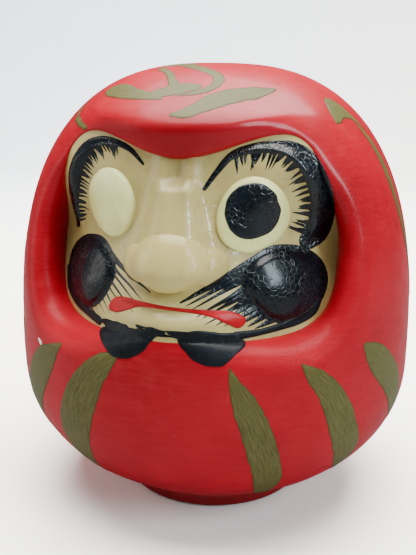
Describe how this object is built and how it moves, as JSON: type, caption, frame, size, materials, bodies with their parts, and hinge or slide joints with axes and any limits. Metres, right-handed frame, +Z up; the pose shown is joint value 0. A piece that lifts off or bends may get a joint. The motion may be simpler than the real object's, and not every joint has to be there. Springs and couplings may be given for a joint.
{
  "type": "daruma doll",
  "caption": "Red papier-mache daruma doll with a recessed cream face, one eye painted in, gold brush strokes and a weighted round foot.",
  "frame": {"origin": "middle of the foot's underside, on the surface that the doll stands on", "axes": "+Z up through the doll's crown; the face looks along -Y; +X is the doll's own left side"},
  "size_m": [0.185, 0.18, 0.2],
  "materials": {
    "red_lacquer": "satin",
    "face_cream": "gloss",
    "eye_white": "satin",
    "black_ink": "gloss",
    "plain_paper": "matte",
    "dried_clay": "matte",
    "foot_red": "satin",
    "gold_paint": "satin"
  },
  "bodies": {
    "root": {"shell_front": "red_lacquer", "shell_back": "red_lacquer", "face_panel": "face_cream", "nose": "face_cream", "eye_left": "eye_white", "eye_right": "eye_white", "brow_left": "black_ink", "brow_right": "black_ink", "cheek_left": "black_ink", "cheek_right": "black_ink", "foot_disc": "foot_red", "foot_paper": "plain_paper", "base_weight": "dried_clay", "seam_strip": "plain_paper"}
  },
  "joints": []
}
